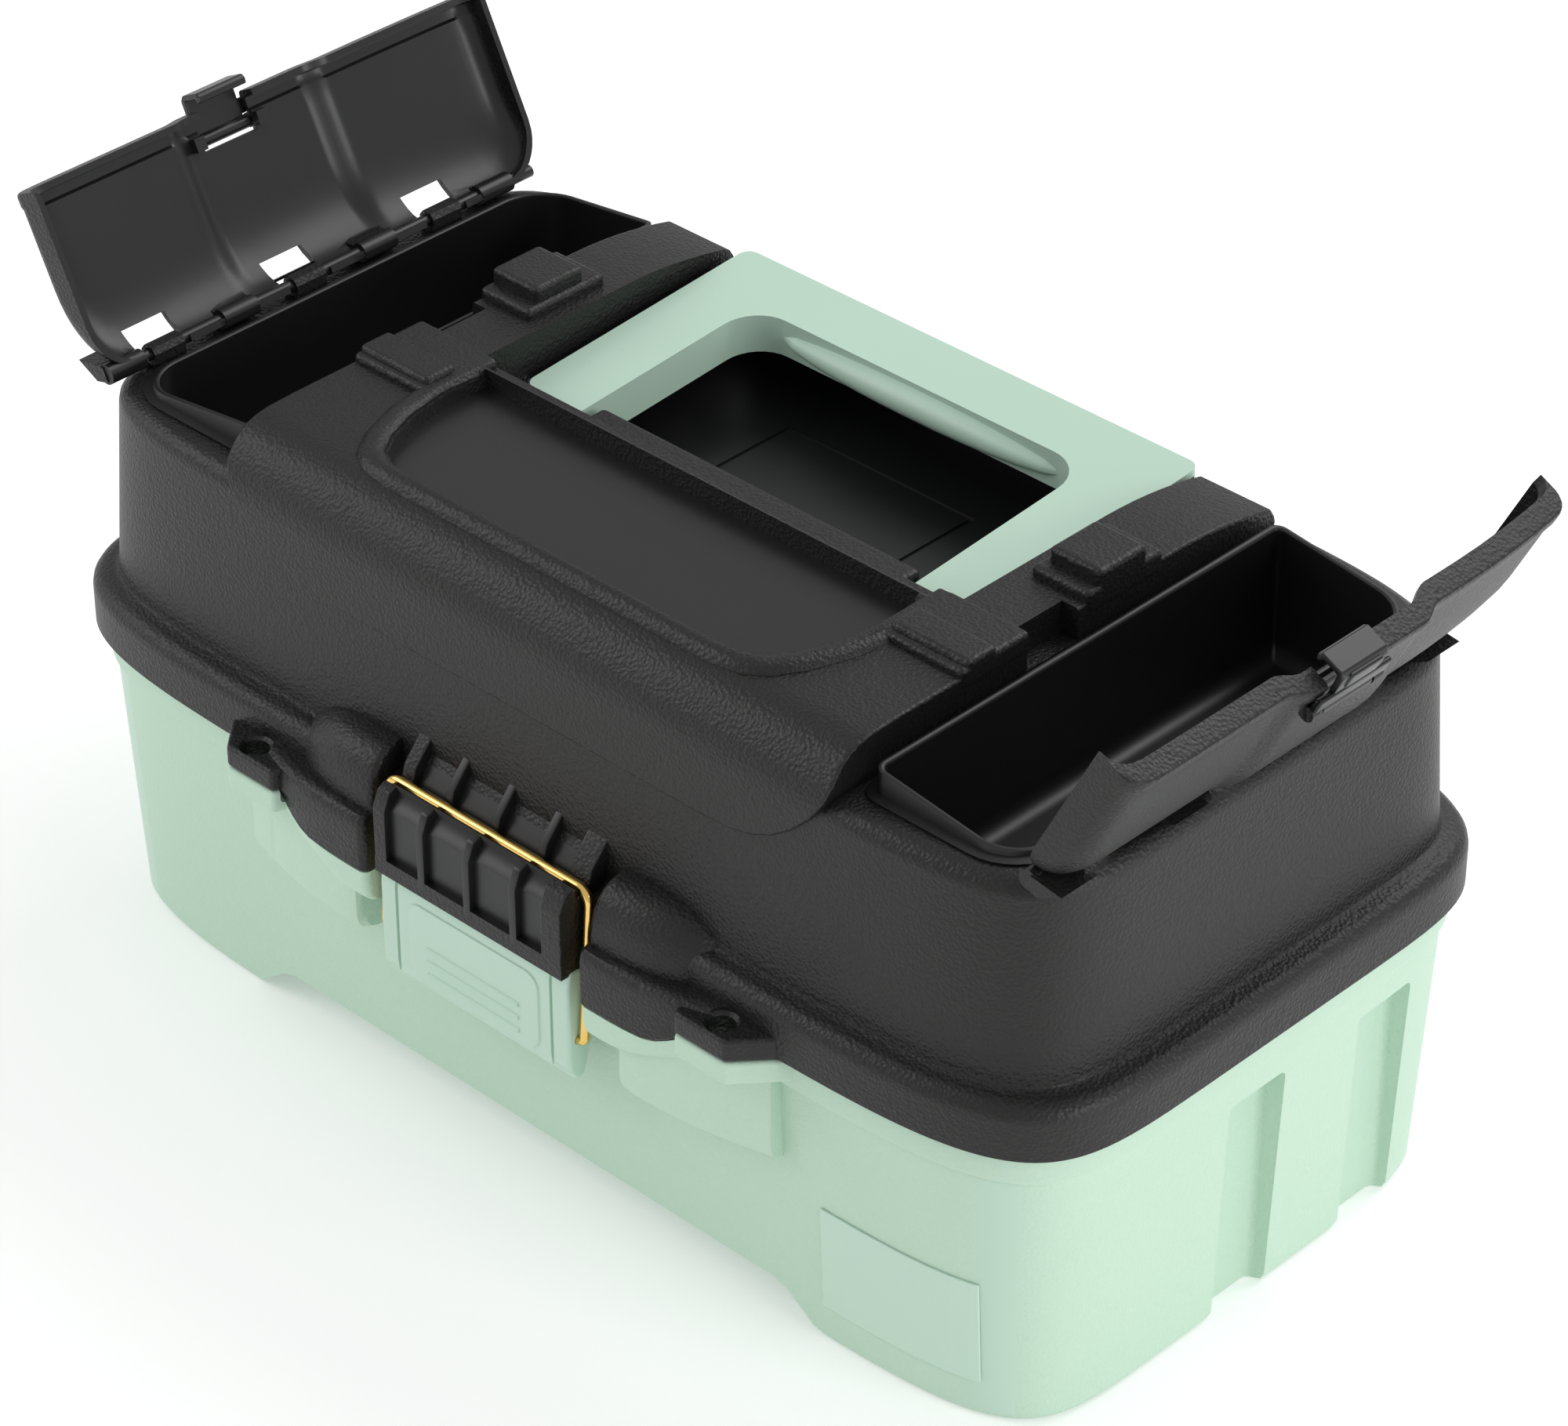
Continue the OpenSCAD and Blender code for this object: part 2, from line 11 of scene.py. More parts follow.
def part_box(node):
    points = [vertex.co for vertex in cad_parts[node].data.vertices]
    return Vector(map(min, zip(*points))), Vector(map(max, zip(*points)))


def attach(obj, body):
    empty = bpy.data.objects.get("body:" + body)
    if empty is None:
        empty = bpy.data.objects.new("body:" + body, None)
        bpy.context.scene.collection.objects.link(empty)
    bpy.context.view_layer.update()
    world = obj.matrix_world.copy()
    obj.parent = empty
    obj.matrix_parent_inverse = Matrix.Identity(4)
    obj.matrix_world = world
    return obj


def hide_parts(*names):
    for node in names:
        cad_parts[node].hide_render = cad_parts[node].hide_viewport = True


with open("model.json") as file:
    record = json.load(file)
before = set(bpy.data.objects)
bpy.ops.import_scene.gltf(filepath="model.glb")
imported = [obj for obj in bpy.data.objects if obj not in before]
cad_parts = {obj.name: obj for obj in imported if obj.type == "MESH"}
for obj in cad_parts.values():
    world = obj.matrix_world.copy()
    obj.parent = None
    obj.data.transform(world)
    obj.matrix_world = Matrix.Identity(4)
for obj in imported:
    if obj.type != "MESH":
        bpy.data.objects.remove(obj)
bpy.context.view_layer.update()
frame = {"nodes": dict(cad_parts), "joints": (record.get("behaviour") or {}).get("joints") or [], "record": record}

# ---------------------------------------------------------------- sizes, in millimetres
MM = 0.001
joints = {joint["name"]: joint for joint in frame["joints"]}


def place(name):
    return Vector(joints[name]["pos_m"]) / MM


def node_box(name):
    low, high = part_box(name)
    return low / MM, high / MM


HINGE = place("lid_hinge")
HANDLE = place("handle_hinge")
ROD = place("right_door_hinge")
CLIP = place("right_clip_hinge")
LEVER = place("lever_hinge")
BAIL = place("bail_hinge")
DOOR_OPEN = math.radians(117)
HANDLE_TILT = math.radians(4)

skirt_x, skirt_y = 204.9, HINGE.y - 5.6
skirt_low = HINGE.z
skirt_top = skirt_low + 19
wall = 2.6
body_x, body_y = skirt_x - 8.7, skirt_y - 8.3
rim_x, rim_y = skirt_x - 3.3, skirt_y - 3.3
foot_x, foot_y = skirt_x - 9.5, skirt_y - 10
ledge = 185
deck_x, deck_z = 121, 201
bin_floor = 150
well_x, well_floor = 95, 163
lever_x = 39
tab_x, tab_y, lock_r = 96, -113, 4.2
front_y = -118.9
flutes = (-4, 53)
slot_places = (-66, -9, 48)
clip_y = CLIP.y


# ---------------------------------------------------------------- mesh helpers
def mesh_object(name, points, faces):
    mesh = bpy.data.meshes.new(name)
    mesh.from_pydata([tuple(c * MM for c in p) for p in points], [], faces)
    mesh.validate()
    obj = bpy.data.objects.new(name, mesh)
    bpy.context.scene.collection.objects.link(obj)
    return obj


def outward(obj, merge=0.0):
    """Merges doubles where asked and turns every face outwards."""
    bm = bmesh.new()
    bm.from_mesh(obj.data)
    if merge:
        bmesh.ops.remove_doubles(bm, verts=bm.verts, dist=merge * MM)
    bmesh.ops.recalc_face_normals(bm, faces=bm.faces)
    bm.to_mesh(obj.data)
    bm.free()
    return obj


def loft(name, rings):
    """A closed solid through rings of equally many points, capped at both ends."""
    n = len(rings[0])
    points = [p for ring in rings for p in ring]
    faces = [(k * n + i, k * n + (i + 1) % n, (k + 1) * n + (i + 1) % n, (k + 1) * n + i)
             for k in range(len(rings) - 1) for i in range(n)]
    faces += [tuple(range(n))[::-1], tuple((len(rings) - 1) * n + i for i in range(n))]
    return outward(mesh_object(name, points, faces))


def squircle(hx, hy, z, power, count=128):
    """A plan outline with bowed sides and rounded corners."""
    ring = []
    for i in range(count):
        a = 2 * math.pi * (i + 0.5) / count
        c, s = math.cos(a), math.sin(a)
        ring.append((hx * math.copysign(abs(c) ** (2 / power), c),
                     hy * math.copysign(abs(s) ** (2 / power), s), z))
    return ring


def round_rect(x0, x1, y0, y1, r, steps=6):
    """Corner-rounded rectangle as (x, y) pairs, counterclockwise."""
    r = min(r, (x1 - x0) / 2 - 0.01, (y1 - y0) / 2 - 0.01)
    centres = ((x1 - r, y1 - r, 0), (x0 + r, y1 - r, 90), (x0 + r, y0 + r, 180), (x1 - r, y0 + r, 270))
    return [(cx + r * math.cos(math.radians(a + 90 * k / steps)),
             cy + r * math.sin(math.radians(a + 90 * k / steps)))
            for cx, cy, a in centres for k in range(steps + 1)]


def level(outline, z):
    return [(x, y, z) for x, y in outline]


def prism(name, outline, axis, low, high):
    """An outline pushed along X (y, z pairs), along Y (x, z pairs) or along Z (x, y pairs)."""
    def at(p, c):
        return {"x": (c, p[0], p[1]), "y": (p[0], c, p[1]), "z": (p[0], p[1], c)}[axis]
    return loft(name, [[at(p, low) for p in outline], [at(p, high) for p in outline]])


def block(name, x, y, z):
    return prism(name, [(x[0], y[0]), (x[1], y[0]), (x[1], y[1]), (x[0], y[1])], "z", z[0], z[1])


def rod(name, axis, centre, radius, low, high, steps=32):
    ring = [(centre[0] + radius * math.cos(2 * math.pi * i / steps),
             centre[1] + radius * math.sin(2 * math.pi * i / steps)) for i in range(steps)]
    return prism(name, ring, axis, low, high)


def soft_block(name, x, y, z, r=2.0, segments=3):
    return rounded(block(name, x, y, z), r, segments)


def flat_copy(obj):
    """Applies an object's modifiers to its mesh."""
    bpy.context.view_layer.update()
    mesh = bpy.data.meshes.new_from_object(obj.evaluated_get(bpy.context.evaluated_depsgraph_get()))
    obj.modifiers.clear()
    obj.data = mesh
    return obj


def rounded(obj, width=0.8, segments=2, angle=32):
    bevel = obj.modifiers.new("round", "BEVEL")
    bevel.width = width * MM
    bevel.segments = segments
    bevel.limit_method = "ANGLE"
    bevel.angle_limit = math.radians(angle)
    bevel.use_clamp_overlap = True
    return flat_copy(obj)


def mirrored(obj):
    """A second object on the other side of X = 0."""
    twin = obj.copy()
    twin.data = obj.data.copy()
    twin.data.transform(Matrix.Scale(-1, 4, (1, 0, 0)))
    twin.data.flip_normals()
    bpy.context.scene.collection.objects.link(twin)
    return twin


def both(obj):
    return [obj, mirrored(obj)]


def carve(obj, add=(), cut=()):
    """Adds and cuts away solids exactly; the tools are used up."""
    for operation, tools in (("UNION", add), ("DIFFERENCE", cut)):
        for tool in tools:
            step = obj.modifiers.new("carve", "BOOLEAN")
            step.operation = operation
            step.solver = "EXACT"
            step.object = tool
    flat_copy(obj)
    for tool in list(add) + list(cut):
        bpy.data.objects.remove(tool)
    return obj


def turned(obj, centre, axis, angle):
    centre = Vector(centre) * MM
    obj.data.transform(Matrix.Translation(centre) @ Matrix.Rotation(angle, 4, axis)
                       @ Matrix.Translation(-centre))
    return obj


def shaded(obj, angle=32):
    """Smooth shading with hard edges kept where faces meet steeply."""
    bm = bmesh.new()
    bm.from_mesh(obj.data)
    bmesh.ops.remove_doubles(bm, verts=bm.verts, dist=0.00001)
    bmesh.ops.dissolve_degenerate(bm, dist=0.00001, edges=bm.edges)
    bm.to_mesh(obj.data)
    bm.free()
    obj.data.polygons.foreach_set("use_smooth", [True] * len(obj.data.polygons))
    obj.data.set_sharp_from_angle(angle=math.radians(angle))
    weighted = obj.modifiers.new("weights", "WEIGHTED_NORMAL")
    weighted.keep_sharp = True
    return flat_copy(obj)


# ---------------------------------------------------------------- materials
class Sock:
    """A shader socket that takes part in sums and products."""

    def __init__(self, tree, socket):
        self.tree, self.socket = tree, socket

    def math(self, operation, *others, swap=False):
        values = [self, *others]
        return self.tree.node("ShaderNodeMath", {"operation": operation}, values[::-1] if swap else values)

    def __add__(self, other): return self.math("ADD", other)
    def __radd__(self, other): return self.math("ADD", other)
    def __sub__(self, other): return self.math("SUBTRACT", other)
    def __rsub__(self, other): return self.math("SUBTRACT", other, swap=True)
    def __mul__(self, other): return self.math("MULTIPLY", other)
    def __rmul__(self, other): return self.math("MULTIPLY", other)


class Finish:
    """One material and the nodes that make it up."""

    def __init__(self, name):
        self.material = bpy.data.materials.new(name)
        self.material.use_nodes = True
        self.nodes = self.material.node_tree.nodes
        self.links = self.material.node_tree.links
        self.shader = self.nodes["Principled BSDF"]
        self.place = self.node("ShaderNodeTexCoord", {}, [], out="Object")

    def node(self, kind, settings, inputs, out=0):
        made = self.nodes.new(kind)
        for key, value in settings.items():
            if key == "stops":
                ramp = made.color_ramp
                ramp.elements[0].position, ramp.elements[0].color = value[0]
                ramp.elements[1].position, ramp.elements[1].color = value[-1]
                for position, color in value[1:-1]:
                    ramp.elements.new(position).color = color
            else:
                setattr(made, key, value)
        pairs = inputs.items() if isinstance(inputs, dict) else enumerate(inputs)
        for key, value in pairs:
            if isinstance(value, Sock):
                self.links.new(value.socket, made.inputs[key])
            else:
                made.inputs[key].default_value = value
        return Sock(self, made.outputs[out])

    def noise(self, scale, detail=2.0, roughness=0.5):
        return self.node("ShaderNodeTexNoise", {},
                         {"Vector": self.place, "Scale": scale, "Detail": detail, "Roughness": roughness},
                         out=0)

    def pebbles(self, scale, feature="F1"):
        return self.node("ShaderNodeTexVoronoi", {"feature": feature}, {"Vector": self.place, "Scale": scale},
                         out=0)

    def mix(self, factor, dark, light):
        return self.node("ShaderNodeMix", {"data_type": "RGBA"}, {0: factor, 6: dark, 7: light}, out=2)

    def wire(self, name, value):
        if isinstance(value, Sock):
            self.links.new(value.socket, self.shader.inputs[name])
        else:
            self.shader.inputs[name].default_value = value

    def bump(self, height, strength, distance):
        normal = self.node("ShaderNodeBump", {},
                           {"Strength": strength, "Distance": distance, "Height": height}, out=0)
        self.wire("Normal", normal)


def grained_plastic(name, dark, light, roughness, depth, cell=820.0):
    """Moulded polypropylene with a fine leather grain."""
    finish = Finish(name)
    blotch = finish.noise(9.0, 3.0)
    wrinkle = finish.noise(cell * 1.3, 2.0, 0.6)
    grain = finish.pebbles(cell) * 0.7 + wrinkle * 0.5
    finish.wire("Base Color", finish.mix(blotch * 0.7 + grain * 0.3, dark, light))
    finish.wire("Roughness", roughness + (blotch - 0.5) * 0.12 + (grain - 0.5) * 0.1)
    finish.bump(grain, 0.7, depth)
    finish.wire("Specular IOR Level", 0.38)
    return finish.material


def smooth_plastic(name, dark, light, roughness):
    """Moulded plastic with a polished tool face and faint flow marks."""
    finish = Finish(name)
    flow = finish.noise(14.0, 4.0)
    fine = finish.noise(900.0, 2.0)
    finish.wire("Base Color", finish.mix(flow, dark, light))
    finish.wire("Roughness", roughness + (flow - 0.5) * 0.14 + (fine - 0.5) * 0.05)
    finish.bump(fine * 0.6 + flow, 0.18, 0.00008)
    finish.wire("Specular IOR Level", 0.45)
    return finish.material


def drawn_metal(name, dark, light, roughness):
    """Bright wire or plated steel with fine drawing marks."""
    finish = Finish(name)
    marks = finish.noise(1600.0, 3.0)
    tone = finish.noise(60.0, 2.0)
    finish.wire("Base Color", finish.mix(tone, dark, light))
    finish.wire("Metallic", 1.0)
    finish.wire("Roughness", roughness + (marks - 0.5) * 0.12)
    finish.bump(marks, 0.15, 0.00003)
    return finish.material


mint_grain = grained_plastic("mint_leather_grain", (0.462, 0.632, 0.505, 1), (0.515, 0.690, 0.560, 1), 0.50,
                             0.00022)
mint_smooth = smooth_plastic("mint_smooth", (0.470, 0.645, 0.535, 1), (0.502, 0.678, 0.566, 1), 0.40)
black_grain = grained_plastic("black_leather_grain", (0.0072, 0.0070, 0.0068, 1), (0.0122, 0.0119, 0.0116, 1),
                              0.41, 0.00042)
black_smooth = smooth_plastic("black_smooth", (0.0062, 0.0064, 0.0068, 1), (0.0095, 0.0097, 0.0102, 1), 0.34)
black_gloss = smooth_plastic("black_gloss_liner", (0.006, 0.006, 0.0062, 1), (0.009, 0.009, 0.0095, 1), 0.40)
tray_grey = smooth_plastic("tray_grey", (0.16, 0.19, 0.19, 1), (0.22, 0.25, 0.25, 1), 0.38)
brass = drawn_metal("brass_wire", (0.80, 0.52, 0.14, 1), (0.90, 0.64, 0.22, 1), 0.17)
steel = drawn_metal("zinc_plate", (0.52, 0.53, 0.54, 1), (0.64, 0.65, 0.66, 1), 0.32)
label_clear = smooth_plastic("label_film", (0.50, 0.675, 0.565, 1), (0.52, 0.695, 0.585, 1), 0.20)


def wear(piece, materials, choose=None):
    """Gives a piece its materials; choose(centre, normal) picks one by index, in millimetres."""
    piece.data.materials.clear()
    for material in materials:
        piece.data.materials.append(material)
    for face in piece.data.polygons:
        face.material_index = choose(face.center / MM, face.normal) if choose else 0


def piece_done(piece, body, slot, *nodes):
    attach(piece, body)
    if nodes:
        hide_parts(*nodes)


# ---------------------------------------------------------------- a row of ridges, by geometry nodes
def ridge_tree():
    """Half-round bars along a line: a swept bar set out by a mesh line."""
    tree = bpy.data.node_groups.new("ridge_row", "GeometryNodeTree")
    tree.interface.new_socket("Geometry", in_out="OUTPUT", socket_type="NodeSocketGeometry")
    for name, kind in (("Count", "NodeSocketInt"), ("Start", "NodeSocketVector"),
                       ("Step", "NodeSocketVector"),
                       ("Reach", "NodeSocketVector"), ("Radius", "NodeSocketFloat"),
                       ("Finish", "NodeSocketMaterial")):
        tree.interface.new_socket(name, in_out="INPUT", socket_type=kind)
    given = tree.nodes.new("NodeGroupInput").outputs
    out = tree.nodes.new("NodeGroupOutput")

    def node(kind, settings=None, **links):
        made = tree.nodes.new(kind)
        for key, value in (settings or {}).items():
            setattr(made, key, value)
        for key, value in links.items():
            socket = made.inputs[key.replace("_", " ")]
            if isinstance(value, bpy.types.NodeSocket):
                tree.links.new(value, socket)
            else:
                socket.default_value = value
        return made

    back = node("ShaderNodeVectorMath", {"operation": "SCALE"}, Scale=-1.0)
    tree.links.new(given["Reach"], back.inputs[0])
    line = node("GeometryNodeCurvePrimitiveLine", Start=back.outputs[0], End=given["Reach"])
    section = node("GeometryNodeCurvePrimitiveCircle", Resolution=12, Radius=given["Radius"])
    bar = node("GeometryNodeCurveToMesh", Curve=line.outputs[0], Profile_Curve=section.outputs[0],
               Fill_Caps=True)
    row = node("GeometryNodeMeshLine", Count=given["Count"], Start_Location=given["Start"],
               Offset=given["Step"])
    spread = node("GeometryNodeInstanceOnPoints", Points=row.outputs[0], Instance=bar.outputs[0])
    real = node("GeometryNodeRealizeInstances", Geometry=spread.outputs[0])
    painted = node("GeometryNodeSetMaterial", Geometry=real.outputs[0], Material=given["Finish"])
    tree.links.new(painted.outputs[0], out.inputs[0])
    return tree


RIDGES = ridge_tree()


def ridge_row(name, count, start, step, reach, radius, material):
    obj = mesh_object(name, [(0, 0, 0)], [])
    modifier = obj.modifiers.new("ridges", "NODES")
    modifier.node_group = RIDGES
    values = {"Count": count, "Start": Vector(start) * MM, "Step": Vector(step) * MM,
              "Reach": Vector(reach) * MM, "Radius": radius * MM, "Finish": material}
    for item in RIDGES.interface.items_tree:
        if item.in_out == "INPUT":
            modifier[item.identifier] = values[item.name]
    return outward(flat_copy(obj))


# ---------------------------------------------------------------- shared outlines
def lock_tab(z0, z1):
    outline = [(tab_x - 18, -skirt_y + 6), (tab_x - 13, front_y), (tab_x + 6.5, front_y),
               (tab_x + 21, -skirt_y + 6)]
    return rounded(prism("tab", outline, "z", z0, z1), 1.2, 3)


def dome(y, z):
    """Height of the crowned deck at a depth y for a crown of height z."""
    front = 8 * ((-80 - y) / 14) ** 2 if y < -80 else 0
    rear = 6 * ((y - 42) / 45) ** 2 if y > 42 else 0
    return z - front - rear


# ---------------------------------------------------------------- tub
def tub():
    outer = [squircle(foot_x - 4, foot_y - 4, 0, 8), squircle(foot_x - 1.2, foot_y - 1.2, 0.6, 8),
             squircle(foot_x, foot_y, 3, 8), squircle(rim_x - 3, rim_y - 3, 88.5, 8),
             squircle(rim_x - 2.4, rim_y - 2.4, 89.4, 7.5), squircle(rim_x - 0.6, rim_y - 0.6, 90.6, 7.2),
             squircle(rim_x, rim_y, 92, 7), squircle(rim_x, rim_y, skirt_low - 1.2, 7),
             squircle(rim_x - 0.8, rim_y - 0.8, skirt_low - 0.4, 7),
             squircle(rim_x - 1, rim_y - 1, skirt_low, 7), squircle(rim_x - 1, rim_y - 1, skirt_low + 14, 7),
             squircle(rim_x - 2, rim_y - 2, skirt_low + 15, 7)]
    inner = [squircle(foot_x - 9, foot_y - 9, 12.6, 8), squircle(foot_x - 4, foot_y - 4, 14.5, 8),
             squircle(foot_x - wall, foot_y - wall, 20, 8),
             squircle(rim_x - 3 - wall, rim_y - 3 - wall, skirt_low + 20, 8)]
    shell = loft("tub", outer)
    room = loft("room", inner)
    arch = [(-122, -1), (-107, 11), (-102, 12.5), (102, 12.5), (107, 11), (122, -1)]
    cuts = [rounded(prism("arch", arch, "y", -130, -60), 2, 3)]
    arch_rear = [(-122, -1), (-107, 9), (-102, 10), (102, 10), (107, 9), (122, -1)]
    cuts.append(prism("arch_rear", arch_rear, "y", -61, 130))
    pads, grown = [], []
    for centre in flutes:
        outline = [(foot_x - 6, centre - 11), (skirt_x + 6, centre - 14), (skirt_x + 6, centre + 14),
                   (foot_x - 6, centre + 11)]
        cuts += both(rounded(prism("flute", outline, "z", -8, 79), 2.4, 3))
        wider = [(foot_x - 6 - wall, centre - 12 - wall), (skirt_x + 6, centre - 14 - wall),
                 (skirt_x + 6, centre + 14 + wall), (foot_x - 6 - wall, centre + 12 + wall)]
        grown += both(prism("flute_back", wider, "z", -8, 79 + wall))
    carve(room, cut=grown)
    # pads under the lid's horns, in two tiers
    upper = ((78, 60, 112), (79, 66, 115), (81, 74, 117), (85, 84, 117.9), (90, 94, 118), (95, 101, 118),
             (skirt_low - 0.5, 104, 118))
    pads += both(loft("pad", [shoulder(z, 44.4, outer, front, 2.4) for z, outer, front in upper]))
    sweep = ((107.8, 106), (98, 108.6), (88, 110.8), (78, 112.4), (68, 113.2), (58, 113.4), (55, 112.8),
             (53.6, 110.5))
    lower = ((61, 5), (62, 2.2), (64, 0.7), (67, 0), (skirt_low - 0.5, 0))
    pads += both(loft("pad", [[(107.8, -80, z)] + [(x, -y + drop, z) for x, y in sweep] + [(53.6, -80, z)]
                              for z, drop in lower]))
    pads += both(lock_tab(skirt_low - 8, skirt_low - 0.4))
    room_front = [block("latch_room", (-lever_x - 4.9, lever_x + 4.9), (-150, LEVER.y + 4),
                        (86, skirt_low - 0.2)),
                  block("lever_room", (-lever_x - 4.9, lever_x + 4.9), (-150, -skirt_y + 3.9),
                        (40, skirt_low))]
    cuts += both(rod("lock_hole", "z", (tab_x, tab_y), lock_r, 60, 130)) + both(lobe(0.4))
    # hinge leaves behind
    for x in (-120, 0, 120):
        for x0, x1 in ((x - 18, x - 6.5), (x + 6.5, x + 18)):
            knuckle = [(HINGE.y + 5 * math.cos(a), HINGE.z + 5 * math.sin(a))
                       for a in (math.radians(t) for t in range(-180, 136, 15))]
            pads.append(prism("knuckle", [(rim_y - 2, HINGE.z - 1.5), (rim_y - 2, HINGE.z - 12)]
                              + knuckle[7:],
                              "x", x0, x1))
    carve(shell, add=pads, cut=[room] + room_front + cuts)
    piece = shaded(rounded(shell, 0.7, 2, 35))
    wear(piece, [mint_grain, mint_smooth],
         lambda c, n: 1 if abs(c.x) < foot_x - 9 and abs(c.y) < foot_y - 4 and c.z > 5 and n.z > -0.5 else 0)
    piece_done(piece, "base", "mint_shell", "base_tub")


# ---------------------------------------------------------------- lid
def shoulder(z, inner, outer, front, belly, back=-97.0):
    """Plan of the shoulder beside the latch: flat on the latch side, an elliptic sweep on the outer side."""
    turn = inner + 6
    ring = [(inner, -80), (inner, -front + 2.5)]
    ring += [(inner + 2.5 - 2.5 * math.cos(a), -front + 2.5 - 2.5 * math.sin(a)) for a in (0.5, 1.0, 1.4)]
    for k in range(17):
        a = math.pi / 2 * (1 - k / 16)
        c, s = math.cos(a) ** (2 / belly), math.sin(a) ** (2 / belly)
        ring.append((turn + (outer - turn) * c, -front + (front + back) * (1 - s)))
    return level(ring + [(outer, -80)], z)


def droop(x):
    """How far the shoulder's lower edge hangs below the skirt, most of all beside the latch."""
    t = max(0.0, min(1.0, (92 - x) / 24))
    return 0.6 + 9.8 * t * t * (3 - 2 * t)


def lobe(grow):
    """The hanging part of the shoulder, in front of the tub's pad: upright sections along X."""
    root, top = -106 + grow / 2, skirt_low + 1.5
    sections = []
    for x, y, _ in shoulder(0, 44.3 - grow, 98 + grow, 118.6 + 3 * grow, 2.6)[1:-1]:
        low = skirt_low - droop(x) - grow
        if y < root - 1.5:
            sections.append([(x, root, top), (x, y, top), (x, y, low + 0.8), (x, y + 0.8, low),
                             (x, root, low)])
    return loft("lobe", sections)


def horn():
    """Shoulder beside the latch: a half dome on a wider foot that sweeps back to the padlock tab."""
    foot = [(skirt_low, 44.3, 104, 118.6, 2.6), (skirt_low + 5, 44.3, 104, 118.6, 2.6),
            (skirt_low + 7.4, 44.4, 103, 118, 2.6), (skirt_low + 8.6, 44.8, 101, 116.8, 2.5),
            (skirt_low + 9, 45.8, 98, 115, 2.4)]
    knob = [(skirt_low + 3, 44.4, 86, 114.6, 2.3)]
    for k in range(1, 12):
        a = math.radians(8 * k)
        s, c = math.sin(a), math.cos(a)
        knob.append((skirt_low + 9 + 19 * s, 44.4 + 1.8 * (1 - c), 57 + 29 * c ** 0.7,
                     98.5 + 15.9 * c ** 0.62, 2.3 - 0.2 * s))
    solids = [solid for rings in (foot, knob)
              for solid in both(loft("horn", [shoulder(*ring) for ring in rings]))]
    return solids + both(lobe(0))


def catch():
    """Ribbed block that the wire drops over, with a groove behind its nose."""
    def profile(inset):
        nose = front_y - 0.1 + inset
        return [(-skirt_y + 14, 98), (nose, 98), (nose, 118), (nose + 2.4, 123.5 - inset),
                (nose + 5.5, 125 - inset),
                (nose + 7.2, 121), (nose + 11.2, 121), (nose + 13 + inset, 127),
                (-skirt_y + 14, 140 - 2 * inset)]
    half = lever_x - 0.5
    parts = [prism("catch_core", profile(2.2), "x", -half + 1, half - 1)]
    ribs = ((-half, -half + 5), (-20.5, -17.5), (-1.5, 1.5), (17.5, 20.5), (half - 8, half))
    parts += [rounded(prism("catch_rib", profile(0), "x", x0, x1), 0.6, 2) for x0, x1 in ribs]
    parts.append(block("catch_band", (-half, half), (front_y, -skirt_y + 10), (95.5, 101)))
    return parts


def contour_panel():
    """Middle part of the lid: crowned on top, running down the front as a panel with a curved lower edge."""
    side = [(90, 160), (-body_y - 0.8, 154), (-body_y, 160), (-body_y + 1, 180), (-body_y + 1.8, 185),
            (-body_y + 3.6, 190), (-93.8, 194), (-91, 196.9), (-88, 198.8), (-84.5, 200), (-80, 200.7)]
    side += [(y, dome(y, deck_z)) for y in range(-70, 88, 6)] + [(88, 192), (89, 188)]
    across = prism("deck", side, "x", -deck_x, deck_x)
    front = [(-121.6, 192), (-119.6, 185.5), (-115.5, 179), (-109, 172.5), (-102, 167.4), (-94, 163.8),
             (-86, 162.2),
             (-76, 161.6)]
    outline = front + [(-x, z) for x, z in front[::-1]] + [(122, 230), (-122, 230)]
    step = across.modifiers.new("carve", "BOOLEAN")
    step.operation = "INTERSECT"
    step.solver = "EXACT"
    step.object = prism("outline", outline, "y", -130, 130)
    tool = step.object
    flat_copy(across)
    bpy.data.objects.remove(tool)
    return rounded(across, 1.0, 3, 28)


def bezel():
    """Raised, rounded border round the deck's smooth front recess."""
    path = [(-88, -26), (-89, -40), (-86.5, -56), (-82, -68), (-77, -75.5), (-70, -79), (-60, -80)]
    path = path + [(-x, y) for x, y in path[::-1]]
    centre = Vector((0, -50))
    rings = []
    for inset, lift in ((-7.6, -3), (-7.2, 0.1), (-6, 1.4), (-4.2, 2.3), (-2, 2.5), (-0.2, 2.1), (1, 1),
                        (1.5, -3)):
        ring = []
        for x, y in path:
            out = Vector((x, y)) - centre
            out = Vector((out.x / 2.4, out.y)).normalized()
            px, py = x - out.x * inset, y - out.y * inset
            ring.append((px, py, dome(max(py, -88), deck_z) + lift))
        rings.append(ring)
    n = len(path)
    points = [p for ring in rings for p in ring]
    faces = [(k * n + i, k * n + (i + 1) % n, (k + 1) * n + (i + 1) % n, (k + 1) * n + i)
             for k in range(len(rings) - 1) for i in range(n)]
    last = (len(rings) - 1) * n
    faces += [(i, (i + 1) % n, last + (i + 1) % n, last + i) for i in range(n)]
    return outward(mesh_object("bezel", points, faces))


def recess_outline(grow=0.0):
    path = [(-88, -26), (-89, -40), (-86.5, -56), (-82, -68), (-77, -75.5), (-70, -79), (-60, -80)]
    path = [(x + grow, y + grow) for x, y in path]
    return path + [(-x, y) for x, y in path[::-1]]


